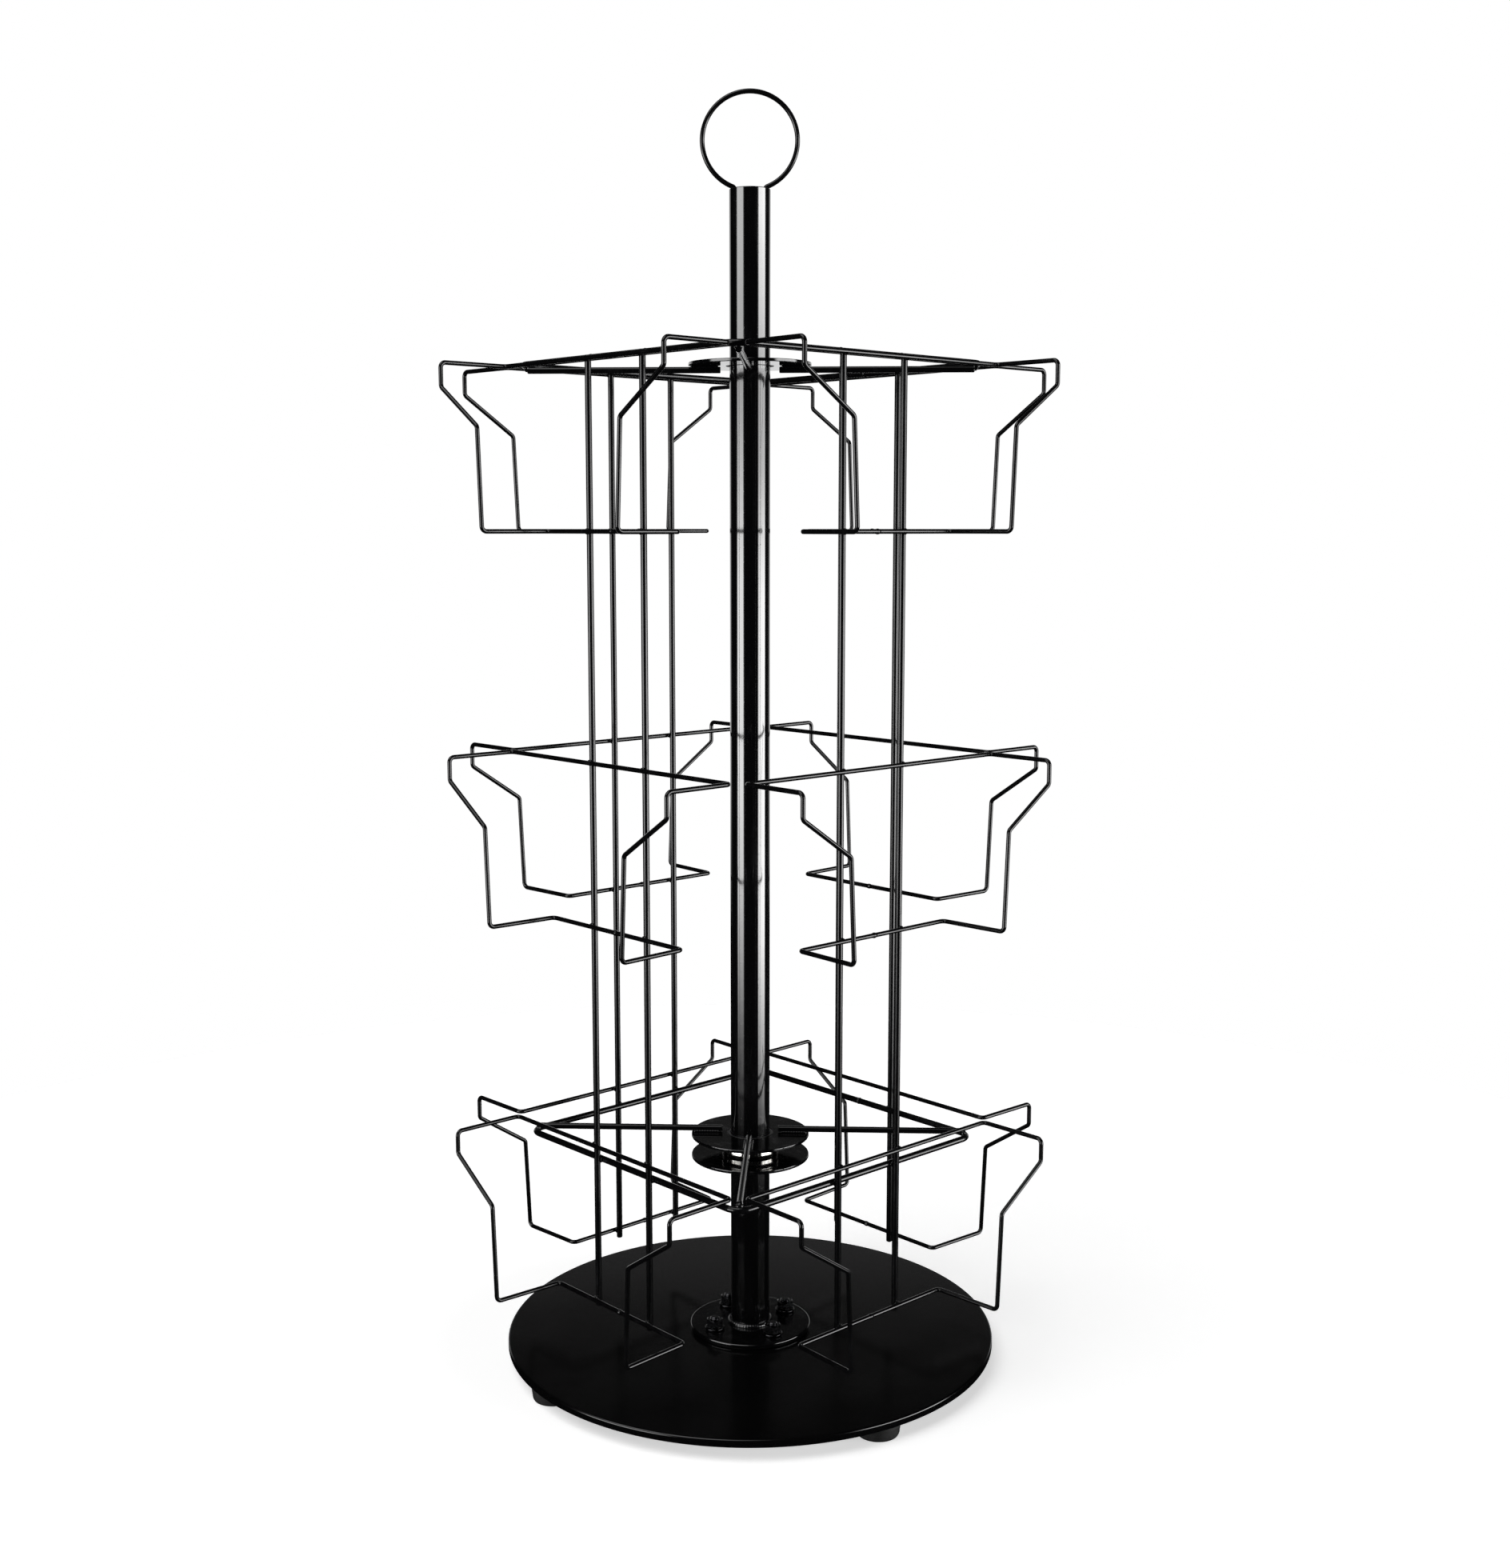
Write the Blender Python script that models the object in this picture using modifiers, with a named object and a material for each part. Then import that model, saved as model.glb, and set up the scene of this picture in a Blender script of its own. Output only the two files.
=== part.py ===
"""Rotating counter-top display rack: a fixed stand, and a wire rack that turns on its pole.

Units are metres and +Z is up.  The origin is on the floor, on the pole's axis.  The rack's four
faces look along -Y (front), +X (right), +Y (back) and -X (left).
"""

import math

import bmesh
import bpy
from mathutils import Matrix, Vector

MM = 0.001
GAP = 0.3 * MM                      # kept between pieces that touch or rest on each other

# Base plate, feet and pole
BASE_RADIUS = 160 * MM
BASE_UNDERSIDE = 9 * MM
BASE_THICKNESS = 5 * MM
BASE_EDGE_ROUND = 1.2 * MM
BASE_TURN = math.radians(-10.5)     # feet and flange studs, about the pole
FOOT_RADIUS = 14 * MM
FOOT_CIRCLE = 145 * MM
FOOT_CHAMFER = 2 * MM
FOOT_RECESS_RADIUS = 5 * MM
FOOT_RECESS_DEPTH = 4.3 * MM
POLE_RADIUS = 12.7 * MM
POLE_WALL = 1.5 * MM
POLE_TOP = 746.1 * MM

# Flange at the pole's foot, and its fasteners
FLANGE_RADIUS = 39.7 * MM
FLANGE_THICKNESS = 3 * MM
FLANGE_CHAMFER = 0.6 * MM
STUD_CIRCLE = 27.5 * MM
STUD_RADIUS = 3 * MM
STUD_TOP = 26.2 * MM
WASHER_RADIUS = 6.3 * MM
WASHER_THICKNESS = 1.6 * MM
NUT_FLATS = 10 * MM
NUT_HEIGHT = 5 * MM
SCREW_SHANK_RADIUS = 2 * MM
SCREW_HEAD_RADIUS = 3.9 * MM
SCREW_HEAD_HEIGHT = 2.6 * MM
SCREW_END_COVER = 1 * MM            # steel left above the foot screws' blind holes

# Ring on top of the pole
RING_RADIUS = 29.2 * MM
RING_CENTRE = 775 * MM
RING_WIRE_RADIUS = 1.5 * MM
RING_TURN = math.radians(47.4)
RING_LEG_OFFSET = 9.3 * MM
RING_LEG_BEND = 2.4 * MM
RING_LEG_END = 724 * MM
PLUG_TOP = 744.5 * MM
PLUG_HEIGHT = 14 * MM

# Hub discs, bushes and thrust bearing
DISC_RADIUS = 38.4 * MM
DISC_THICKNESS = 2 * MM
DISC_CHAMFER = 0.4 * MM
SUPPORT_DISC_TOP = 133.2 * MM
LOWER_DISC_TOP = 147.2 * MM
UPPER_DISC_UNDERSIDE = 639.9 * MM
RACE_RADIUS = 18.5 * MM
LOWER_RACE_HEIGHT = 4.1 * MM
BALL_RADIUS = 1.75 * MM
BALL_CIRCLE = 16 * MM
BALL_COUNT = 12
CAGE_RADII = (13.4 * MM, 18.4 * MM)
CAGE_THICKNESS = 1.8 * MM
BUSH_RADIUS = 14.7 * MM
BUSH_FLANGE_RADIUS = 17 * MM
BUSH_FLANGE_THICKNESS = 1 * MM

# Wire frame of the rack
SQUARE_ROD_RADIUS = 2 * MM
SQUARE_HALF_SIDE = 102.7 * MM
SQUARE_BEND = 10 * MM
SQUARE_OFFSET = 3.2 * MM            # from the arms, on their hub disc's side
ARM_ROD_RADIUS = 2 * MM
ARM_START = 18.3 * MM
ARM_END = 139.1 * MM
UPRIGHT_RADIUS = 2 * MM
UPRIGHT_OFFSET = 25.5 * MM
UPRIGHT_BOTTOM = 50.8 * MM
UPRIGHT_TOP = 642 * MM

# Pockets: one closed wire each, three tiers of four
POCKET_WIRE_RADIUS = 1.4 * MM
POCKET_BEND = 3.2 * MM
POCKET_DEPTH = 47 * MM
RAIL_HALF_LENGTH = 104.7 * MM
TIP_HALF_WIDTH = 105.5 * MM
TIP_DROP = 14.7 * MM
WAIST_HALF_WIDTH = 68 * MM
WAIST_DROP = 39.6 * MM
TOE_HALF_WIDTH = 65 * MM
HEEL_HALF_WIDTH = 62.3 * MM
POCKET_HEIGHT = 101.6 * MM
TIERS = {"top": 639.8 * MM, "middle": 398.4 * MM, "bottom": 157 * MM}
SIDES = {"front": 0, "right": 90, "back": 180, "left": 270}

# Facets
FINE_STEPS = 72
ROUND_STEPS = 32
SMALL_STEPS = 16
HEX_SIDES = 6
POCKET_ARC_STEP = math.radians(45)
SQUARE_ARC_STEP = math.radians(22.5)
LEG_BEND_STEPS = 4
RING_STEPS = 28

# Heights and radii that follow from the values above
BASE_TOP = BASE_UNDERSIDE + BASE_THICKNESS
POLE_BOTTOM = BASE_TOP + GAP
FLANGE_TOP = POLE_BOTTOM + FLANGE_THICKNESS
POLE_HOLE_RADIUS = POLE_RADIUS + GAP
UPRIGHT_PLANE = SQUARE_HALF_SIDE + SQUARE_ROD_RADIUS + GAP + UPRIGHT_RADIUS
RAIL_PLANE = UPRIGHT_PLANE + UPRIGHT_RADIUS + GAP + POCKET_WIRE_RADIUS
LOWER_ARM_HEIGHT = LOWER_DISC_TOP + GAP + ARM_ROD_RADIUS
UPPER_ARM_HEIGHT = UPPER_DISC_UNDERSIDE - GAP - ARM_ROD_RADIUS
LOWER_SQUARE_HEIGHT = LOWER_ARM_HEIGHT - SQUARE_OFFSET
UPPER_SQUARE_HEIGHT = UPPER_ARM_HEIGHT + SQUARE_OFFSET


# ---------------------------------------------------------------- scene and materials

def clear_scene():
    for obj in list(bpy.data.objects):
        bpy.data.objects.remove(obj, do_unlink=True)


def new_collection(name):
    collection = bpy.data.collections.new(name)
    bpy.context.scene.collection.children.link(collection)
    return collection


def new_material(name, colour, roughness, metallic):
    material = bpy.data.materials.new(name)
    material.use_nodes = True
    shader = material.node_tree.nodes["Principled BSDF"]
    shader.inputs["Base Color"].default_value = (*colour, 1)
    shader.inputs["Roughness"].default_value = roughness
    shader.inputs["Metallic"].default_value = metallic
    material.diffuse_color = (*colour, 1)
    return material


def base_paint():
    return new_material("base_paint", (0.018, 0.018, 0.019), 0.42, 0)


def gloss_black():
    return new_material("gloss_black", (0.008, 0.008, 0.009), 0.16, 0)


def black_wire():
    return new_material("black_wire", (0.01, 0.01, 0.011), 0.22, 0)


def black_fastener():
    return new_material("black_fastener", (0.03, 0.03, 0.032), 0.3, 1)


def bright_steel():
    return new_material("bright_steel", (0.72, 0.71, 0.69), 0.14, 1)


def black_nylon():
    return new_material("black_nylon", (0.02, 0.02, 0.021), 0.45, 0)


def black_rubber():
    return new_material("black_rubber", (0.012, 0.012, 0.012), 0.75, 0)


# ---------------------------------------------------------------- shape helpers

def add_object(name, data, material, collection, parent=None):
    obj = bpy.data.objects.new(name, data)
    collection.objects.link(obj)
    if material and not data.materials:
        data.materials.append(material)
    obj.parent = parent
    return obj


def smooth(obj):
    obj.data.shade_smooth()
    obj.data.set_sharp_from_angle(angle=math.radians(35))


def turned(name, profile, steps, closed, material, collection, parent=None):
    """A piece turned about Z.  The profile of (radius, height) runs down the outer side."""
    mesh = bpy.data.meshes.new(name)
    count = len(profile)
    edges = [(i, i + 1) for i in range(count - 1)]
    if closed:
        edges.append((count - 1, 0))
    mesh.from_pydata([(radius, 0, height) for radius, height in profile], edges, [])
    obj = add_object(name, mesh, material, collection, parent)
    screw = obj.modifiers.new("Turn", "SCREW")
    screw.axis = "Z"
    screw.angle = math.tau
    screw.screw_offset = 0
    screw.steps = steps
    screw.render_steps = steps
    screw.use_merge_vertices = True
    screw.merge_threshold = 0.00001
    screw.use_smooth_shade = True
    return obj


def ring_profile(inner, outer, bottom, top, chamfer=0):
    """Closed cross-section of a flat ring, its outer edges chamfered."""
    if not chamfer:
        return [(outer, top), (outer, bottom), (inner, bottom), (inner, top)]
    return [
        (outer - chamfer, top), (outer, top - chamfer),
        (outer, bottom + chamfer), (outer - chamfer, bottom),
        (inner, bottom), (inner, top),
    ]


def wire_curve(name, points, radius, closed=False):
    """A round wire through the points, with flat ends unless it closes on itself."""
    curve = bpy.data.curves.new(name, "CURVE")
    curve.dimensions = "3D"
    curve.bevel_depth = radius
    curve.bevel_resolution = 2
    curve.use_fill_caps = True
    spline = curve.splines.new("POLY")
    spline.points.add(len(points) - 1)
    for spline_point, point in zip(spline.points, points):
        spline_point.co = (*point, 1)
    spline.use_cyclic_u = closed
    return curve


def bend(before, corner, after, radius, arc_step):
    """Points of the arc that rounds one corner of a bent wire."""
    to_before = (before - corner).normalized()
    to_after = (after - corner).normalized()
    half_angle = to_before.angle(to_after) / 2
    setback = radius / math.tan(half_angle)
    centre = corner + (to_before + to_after).normalized() * (radius / math.sin(half_angle))
    start = (corner + to_before * setback - centre).normalized()
    end = (corner + to_after * setback - centre).normalized()
    steps = max(1, round((math.pi - 2 * half_angle) / arc_step))
    return [centre + start.slerp(end, i / steps).normalized() * radius for i in range(steps + 1)]


def bent_path(corners, radius, arc_step, closed=False):
    """The corners joined by straight runs, each corner rounded to the bend radius."""
    corners = [Vector(corner) for corner in corners]
    points = []
    for i, corner in enumerate(corners):
        if not closed and i in (0, len(corners) - 1):
            points.append(corner)
            continue
        after = corners[(i + 1) % len(corners)]
        points.extend(bend(corners[i - 1], corner, after, radius, arc_step))
    return points


def prisms(name, places, bottom, top, radius, sides, turn=0):
    """Mesh of equal upright prisms, one at each (x, y) place."""
    bm = bmesh.new()
    for x, y in places:
        matrix = Matrix.Translation((x, y, (bottom + top) / 2)) @ Matrix.Rotation(turn, 4, "Z")
        bmesh.ops.create_cone(bm, cap_ends=True, segments=sides, radius1=radius, radius2=radius,
                              depth=top - bottom, matrix=matrix)
    mesh = bpy.data.meshes.new(name)
    bm.to_mesh(mesh)
    bm.free()
    return mesh


def around(radius, count, turn=0):
    """Places spaced evenly on a circle about the pole."""
    angles = [turn + math.tau * i / count for i in range(count)]
    return [(radius * math.cos(angle), radius * math.sin(angle)) for angle in angles]


def combine(obj, mesh, operation, cutters):
    """Boolean of the object with a helper mesh that isn't itself a piece."""
    helper = bpy.data.objects.new(mesh.name, mesh)
    cutters.objects.link(helper)
    helper.hide_render = True
    helper.display_type = "WIRE"
    boolean = obj.modifiers.new(mesh.name, "BOOLEAN")
    boolean.operation = operation
    boolean.solver = "EXACT"
    boolean.object = helper


# ---------------------------------------------------------------- stand

def base_plate(parts, cutters, paint):
    rounding = [math.radians(angle) for angle in (90, 45, 0)]
    edge = BASE_RADIUS - BASE_EDGE_ROUND
    profile = [(0, BASE_TOP)]
    for angle in rounding:
        profile.append((edge + BASE_EDGE_ROUND * math.cos(angle),
                        BASE_TOP - BASE_EDGE_ROUND + BASE_EDGE_ROUND * math.sin(angle)))
    profile.append((BASE_RADIUS, BASE_UNDERSIDE))
    profile.append((0, BASE_UNDERSIDE))
    plate = turned("base_plate", profile, FINE_STEPS, False, paint, parts)
    studs = prisms("base_studs", around(STUD_CIRCLE, 4, BASE_TURN), BASE_TOP - 2 * MM, STUD_TOP,
                   STUD_RADIUS, SMALL_STEPS)
    combine(plate, studs, "UNION", cutters)
    screw_holes = prisms("base_screw_holes", around(FOOT_CIRCLE, 4, BASE_TURN),
                         BASE_UNDERSIDE - 1 * MM, BASE_TOP - SCREW_END_COVER,
                         SCREW_SHANK_RADIUS + GAP, SMALL_STEPS)
    combine(plate, screw_holes, "DIFFERENCE", cutters)


def feet(parts, rubber):
    top = BASE_UNDERSIDE - GAP
    hole = SCREW_SHANK_RADIUS + GAP
    profile = [
        (FOOT_RADIUS, top), (FOOT_RADIUS, FOOT_CHAMFER), (FOOT_RADIUS - FOOT_CHAMFER, 0),
        (FOOT_RECESS_RADIUS, 0), (FOOT_RECESS_RADIUS, FOOT_RECESS_DEPTH),
        (hole, FOOT_RECESS_DEPTH), (hole, top),
    ]
    for i, (x, y) in enumerate(around(FOOT_CIRCLE, 4, BASE_TURN)):
        foot = turned(f"foot_{i + 1}", profile, SMALL_STEPS, True, rubber, parts)
        foot.location = (x, y, 0)


def foot_screws(parts, steel):
    head_top = FOOT_RECESS_DEPTH - GAP
    end = BASE_TOP - SCREW_END_COVER - GAP
    profile = [
        (0, end), (SCREW_SHANK_RADIUS, end), (SCREW_SHANK_RADIUS, head_top),
        (SCREW_HEAD_RADIUS, head_top), (SCREW_HEAD_RADIUS, head_top - SCREW_HEAD_HEIGHT),
        (0, head_top - SCREW_HEAD_HEIGHT),
    ]
    for i, (x, y) in enumerate(around(FOOT_CIRCLE, 4, BASE_TURN)):
        screw = turned(f"foot_screw_{i + 1}", profile, SMALL_STEPS, False, steel, parts)
        screw.location = (x, y, 0)


def base_flange(parts, cutters, paint):
    profile = ring_profile(POLE_HOLE_RADIUS, FLANGE_RADIUS, POLE_BOTTOM, FLANGE_TOP,
                           FLANGE_CHAMFER)
    flange = turned("base_flange", profile, ROUND_STEPS, True, paint, parts)
    holes = prisms("flange_stud_holes", around(STUD_CIRCLE, 4, BASE_TURN), POLE_BOTTOM - 1 * MM,
                   FLANGE_TOP + 1 * MM, STUD_RADIUS + GAP, SMALL_STEPS)
    combine(flange, holes, "DIFFERENCE", cutters)


def flange_fasteners(parts, cutters, steel):
    """A washer and a nut on each stud."""
    bore = STUD_RADIUS + GAP
    washer_bottom = FLANGE_TOP + GAP
    nut_bottom = washer_bottom + WASHER_THICKNESS + GAP
    nut_top = nut_bottom + NUT_HEIGHT
    corner_radius = NUT_FLATS / 2 / math.cos(math.pi / HEX_SIDES)
    washer_profile = ring_profile(bore, WASHER_RADIUS, washer_bottom,
                                  washer_bottom + WASHER_THICKNESS)
    for i, (x, y) in enumerate(around(STUD_CIRCLE, 4, BASE_TURN)):
        washer = turned(f"flange_washer_{i + 1}", washer_profile, SMALL_STEPS, True, steel, parts)
        washer.location = (x, y, 0)
        blank = prisms(f"flange_nut_{i + 1}", [(x, y)], nut_bottom, nut_top, corner_radius,
                       HEX_SIDES, BASE_TURN)
        nut = add_object(f"flange_nut_{i + 1}", blank, steel, parts)
        thread = prisms(f"nut_thread_{i + 1}", [(x, y)], nut_bottom - 1 * MM, nut_top + 1 * MM,
                        bore, SMALL_STEPS)
        combine(nut, thread, "DIFFERENCE", cutters)
        smooth(nut)


def pole(parts, paint):
    inner = POLE_RADIUS - POLE_WALL
    turned("pole", ring_profile(inner, POLE_RADIUS, POLE_BOTTOM, POLE_TOP), ROUND_STEPS, True,
           paint, parts)


def pole_plug(parts, cutters, nylon):
    radius = POLE_RADIUS - POLE_WALL - GAP
    bottom = PLUG_TOP - PLUG_HEIGHT
    profile = [(0, PLUG_TOP), (radius, PLUG_TOP), (radius, bottom), (0, bottom)]
    plug = turned("pole_plug", profile, ROUND_STEPS, False, nylon, parts)
    notches = prisms("plug_notches", around(RING_LEG_OFFSET, 2, RING_TURN), bottom - 1 * MM,
                     PLUG_TOP + 1 * MM, RING_WIRE_RADIUS + GAP, SMALL_STEPS)
    combine(plug, notches, "DIFFERENCE", cutters)


def top_ring(parts, wire):
    """A circle of wire whose ends bend down into the pole, left and right of its axis."""
    bend_centre = RING_LEG_OFFSET + RING_LEG_BEND
    start = math.asin(bend_centre / (RING_RADIUS + RING_LEG_BEND))
    bend_height = RING_CENTRE - (RING_RADIUS + RING_LEG_BEND) * math.cos(start)
    half = [(RING_LEG_OFFSET, RING_LEG_END)]
    for i in range(LEG_BEND_STEPS):
        angle = (math.pi / 2 - start) * i / LEG_BEND_STEPS
        half.append((bend_centre - RING_LEG_BEND * math.cos(angle),
                     bend_height + RING_LEG_BEND * math.sin(angle)))
    for i in range(RING_STEPS // 2):
        angle = start + (math.pi - start) * i / (RING_STEPS // 2)
        half.append((RING_RADIUS * math.sin(angle), RING_CENTRE - RING_RADIUS * math.cos(angle)))
    top = [(0, RING_CENTRE + RING_RADIUS)]
    outline = half + top + [(-x, z) for x, z in reversed(half)]
    curve = wire_curve("top_ring", [(x, 0, z) for x, z in outline], RING_WIRE_RADIUS)
    ring = add_object("top_ring", curve, wire, parts)
    ring.rotation_euler = (0, 0, RING_TURN)


def support_disc(parts, paint):
    profile = ring_profile(POLE_HOLE_RADIUS, DISC_RADIUS, SUPPORT_DISC_TOP - DISC_THICKNESS,
                           SUPPORT_DISC_TOP, DISC_CHAMFER)
    turned("support_disc", profile, ROUND_STEPS, True, paint, parts)


# ---------------------------------------------------------------- thrust bearing and hubs

def thrust_bearing(parts, cutters, steel, rack):
    lower_bottom = SUPPORT_DISC_TOP + GAP
    lower_top = lower_bottom + LOWER_RACE_HEIGHT
    ball_centre = lower_top + GAP + BALL_RADIUS
    upper_bottom = ball_centre + BALL_RADIUS + GAP
    upper_top = LOWER_DISC_TOP - DISC_THICKNESS - BUSH_FLANGE_THICKNESS - 2 * GAP

    turned("lower_race", ring_profile(POLE_HOLE_RADIUS, RACE_RADIUS, lower_bottom, lower_top),
           ROUND_STEPS, True, steel, parts)
    turned("upper_race", ring_profile(POLE_HOLE_RADIUS, RACE_RADIUS, upper_bottom, upper_top),
           ROUND_STEPS, True, steel, parts, rack)

    cage_bottom = ball_centre - CAGE_THICKNESS / 2
    cage = turned("caged_balls", ring_profile(*CAGE_RADII, cage_bottom,
                                              cage_bottom + CAGE_THICKNESS),
                  ROUND_STEPS, True, steel, parts)
    bm = bmesh.new()
    for x, y in around(BALL_CIRCLE, BALL_COUNT):
        bmesh.ops.create_uvsphere(bm, u_segments=8, v_segments=5, radius=BALL_RADIUS,
                                  matrix=Matrix.Translation((x, y, ball_centre)))
    balls = bpy.data.meshes.new("bearing_balls")
    bm.to_mesh(balls)
    bm.free()
    combine(cage, balls, "UNION", cutters)


def hub_disc(name, bottom, parts, paint, rack):
    profile = ring_profile(BUSH_RADIUS + GAP, DISC_RADIUS, bottom, bottom + DISC_THICKNESS,
                           DISC_CHAMFER)
    turned(name, profile, ROUND_STEPS, True, paint, parts, rack)


def hub_bush(name, disc_bottom, flange_up, parts, nylon, rack):
    """A nylon bush in a hub disc, with its flange over the disc or under it."""
    disc_top = disc_bottom + DISC_THICKNESS
    if flange_up:
        flange_bottom = disc_top + GAP
        flange_top = flange_bottom + BUSH_FLANGE_THICKNESS
        profile = [
            (BUSH_FLANGE_RADIUS, flange_top), (BUSH_FLANGE_RADIUS, flange_bottom),
            (BUSH_RADIUS, flange_bottom), (BUSH_RADIUS, disc_bottom),
            (POLE_HOLE_RADIUS, disc_bottom), (POLE_HOLE_RADIUS, flange_top),
        ]
    else:
        flange_top = disc_bottom - GAP
        flange_bottom = flange_top - BUSH_FLANGE_THICKNESS
        profile = [
            (BUSH_RADIUS, disc_top), (BUSH_RADIUS, flange_top),
            (BUSH_FLANGE_RADIUS, flange_top), (BUSH_FLANGE_RADIUS, flange_bottom),
            (POLE_HOLE_RADIUS, flange_bottom), (POLE_HOLE_RADIUS, disc_top),
        ]
    turned(name, profile, ROUND_STEPS, True, nylon, parts, rack)


# ---------------------------------------------------------------- wire rack

def squares(parts, wire, rack):
    """Two square frames, each one heavy rod bent round and welded end to end."""
    side = SQUARE_HALF_SIDE
    corners = [(side, side, 0), (-side, side, 0), (-side, -side, 0), (side, -side, 0)]
    path = bent_path(corners, SQUARE_BEND, SQUARE_ARC_STEP, closed=True)
    curve = wire_curve("frame_square", path, SQUARE_ROD_RADIUS, closed=True)
    for level, height in (("lower", LOWER_SQUARE_HEIGHT), ("upper", UPPER_SQUARE_HEIGHT)):
        square = add_object(f"{level}_square", curve, wire, parts, rack)
        square.location = (0, 0, height)


def arms(parts, wire, rack):
    """Rods from the hubs to the squares' corners."""
    curve = wire_curve("hub_arm", [(ARM_START, 0, 0), (ARM_END, 0, 0)], ARM_ROD_RADIUS)
    for level, height in (("lower", LOWER_ARM_HEIGHT), ("upper", UPPER_ARM_HEIGHT)):
        for i in range(4):
            arm = add_object(f"{level}_arm_{i + 1}", curve, wire, parts, rack)
            arm.location = (0, 0, height)
            arm.rotation_euler = (0, 0, math.radians(45 + 90 * i))


def uprights(parts, wire, rack):
    """Two rods on each face, to which the pockets are welded."""
    for label, offset in (("a", -UPRIGHT_OFFSET), ("b", UPRIGHT_OFFSET)):
        ends = [(offset, -UPRIGHT_PLANE, UPRIGHT_BOTTOM), (offset, -UPRIGHT_PLANE, UPRIGHT_TOP)]
        curve = wire_curve(f"upright_{label}", ends, UPRIGHT_RADIUS)
        for side, angle in SIDES.items():
            upright = add_object(f"upright_{side}_{label}", curve, wire, parts, rack)
            upright.rotation_euler = (0, 0, math.radians(angle))


def pocket_corners():
    """Corners of one pocket on the front face, its rail at height 0."""
    back = -RAIL_PLANE
    mouth = -RAIL_PLANE - POCKET_DEPTH
    half = [
        (RAIL_HALF_LENGTH, back, 0), (TIP_HALF_WIDTH, mouth, 0), (TIP_HALF_WIDTH, mouth, -TIP_DROP),
        (WAIST_HALF_WIDTH, mouth, -WAIST_DROP), (TOE_HALF_WIDTH, mouth, -POCKET_HEIGHT),
        (HEEL_HALF_WIDTH, back, -POCKET_HEIGHT),
    ]
    return half + [(-x, y, z) for x, y, z in reversed(half)]


def pockets(parts, wire, rack):
    path = bent_path(pocket_corners(), POCKET_BEND, POCKET_ARC_STEP, closed=True)
    curve = wire_curve("pocket_wire", path, POCKET_WIRE_RADIUS, closed=True)
    for tier, height in TIERS.items():
        for side, angle in SIDES.items():
            pocket = add_object(f"pocket_{tier}_{side}", curve, wire, parts, rack)
            pocket.location = (0, 0, height)
            pocket.rotation_euler = (0, 0, math.radians(angle))


# ---------------------------------------------------------------- assembly

def build():
    clear_scene()
    parts = new_collection("rotating_display_rack")
    cutters = new_collection("cutters")
    rack = bpy.data.objects.new("rack_axis", None)
    parts.objects.link(rack)

    gloss = gloss_black()
    wire = black_wire()
    fastener = black_fastener()
    steel = bright_steel()
    nylon = black_nylon()

    base_plate(parts, cutters, base_paint())
    feet(parts, black_rubber())
    foot_screws(parts, fastener)
    base_flange(parts, cutters, gloss)
    flange_fasteners(parts, cutters, fastener)
    pole(parts, gloss)
    pole_plug(parts, cutters, nylon)
    top_ring(parts, wire)
    support_disc(parts, gloss)

    thrust_bearing(parts, cutters, steel, rack)
    lower_disc_bottom = LOWER_DISC_TOP - DISC_THICKNESS
    hub_disc("lower_hub_disc", lower_disc_bottom, parts, gloss, rack)
    hub_bush("lower_hub_bush", lower_disc_bottom, False, parts, nylon, rack)
    hub_disc("upper_hub_disc", UPPER_DISC_UNDERSIDE, parts, gloss, rack)
    hub_bush("upper_hub_bush", UPPER_DISC_UNDERSIDE, True, parts, nylon, rack)

    squares(parts, wire, rack)
    arms(parts, wire, rack)
    uprights(parts, wire, rack)
    pockets(parts, wire, rack)


build()
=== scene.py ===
"""Looks of the rotating display rack: finished pieces, materials, floor, light and camera.

Units are metres and +Z is up.  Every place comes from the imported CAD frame.
"""

import math

import bmesh
import bpy
from mathutils import Matrix, Vector, noise


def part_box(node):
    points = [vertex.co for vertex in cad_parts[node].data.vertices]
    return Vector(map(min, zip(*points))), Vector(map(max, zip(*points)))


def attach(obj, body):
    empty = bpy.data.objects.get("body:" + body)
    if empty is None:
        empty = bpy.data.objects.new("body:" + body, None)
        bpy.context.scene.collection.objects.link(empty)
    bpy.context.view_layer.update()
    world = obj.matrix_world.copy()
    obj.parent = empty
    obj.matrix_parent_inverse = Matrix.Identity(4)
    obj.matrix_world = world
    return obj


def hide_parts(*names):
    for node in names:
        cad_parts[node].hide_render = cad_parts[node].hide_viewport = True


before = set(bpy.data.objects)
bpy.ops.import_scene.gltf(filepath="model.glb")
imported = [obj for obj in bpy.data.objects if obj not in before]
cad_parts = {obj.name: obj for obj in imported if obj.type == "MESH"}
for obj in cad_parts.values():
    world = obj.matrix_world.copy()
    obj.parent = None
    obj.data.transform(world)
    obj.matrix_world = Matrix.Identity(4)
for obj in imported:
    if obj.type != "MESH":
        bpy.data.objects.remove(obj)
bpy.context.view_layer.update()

MM = 0.001
GAP = 0.3 * MM                      # between neighbouring solids in the CAD
SIDES = {"front": 0, "right": 90, "back": 180, "left": 270}     # degrees about the pole
TIERS = ("top", "middle", "bottom")
NUMBERS = (1, 2, 3, 4)              # of the feet and of the flange's fasteners

# Edges and facets
SHARP_ANGLE = math.radians(29)
ARC_STEP = math.radians(9)
HOLD = 0.12 * MM                    # strip beside each bend that keeps straight runs straight
LONG_RUN = 8 * HOLD                 # shorter ones go without it
BASE_STEPS = 192
POLE_STEPS = 96
DISC_STEPS = 96
SMALL_STEPS = 48
FOOT_STEPS = 64
WIRE_SIDES = 20
ROD_CHAMFER = 0.4 * MM
DISC_EDGE = 0.45 * MM
CUT_PAST = 1 * MM                   # how far a cutter reaches past what it cuts through

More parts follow.
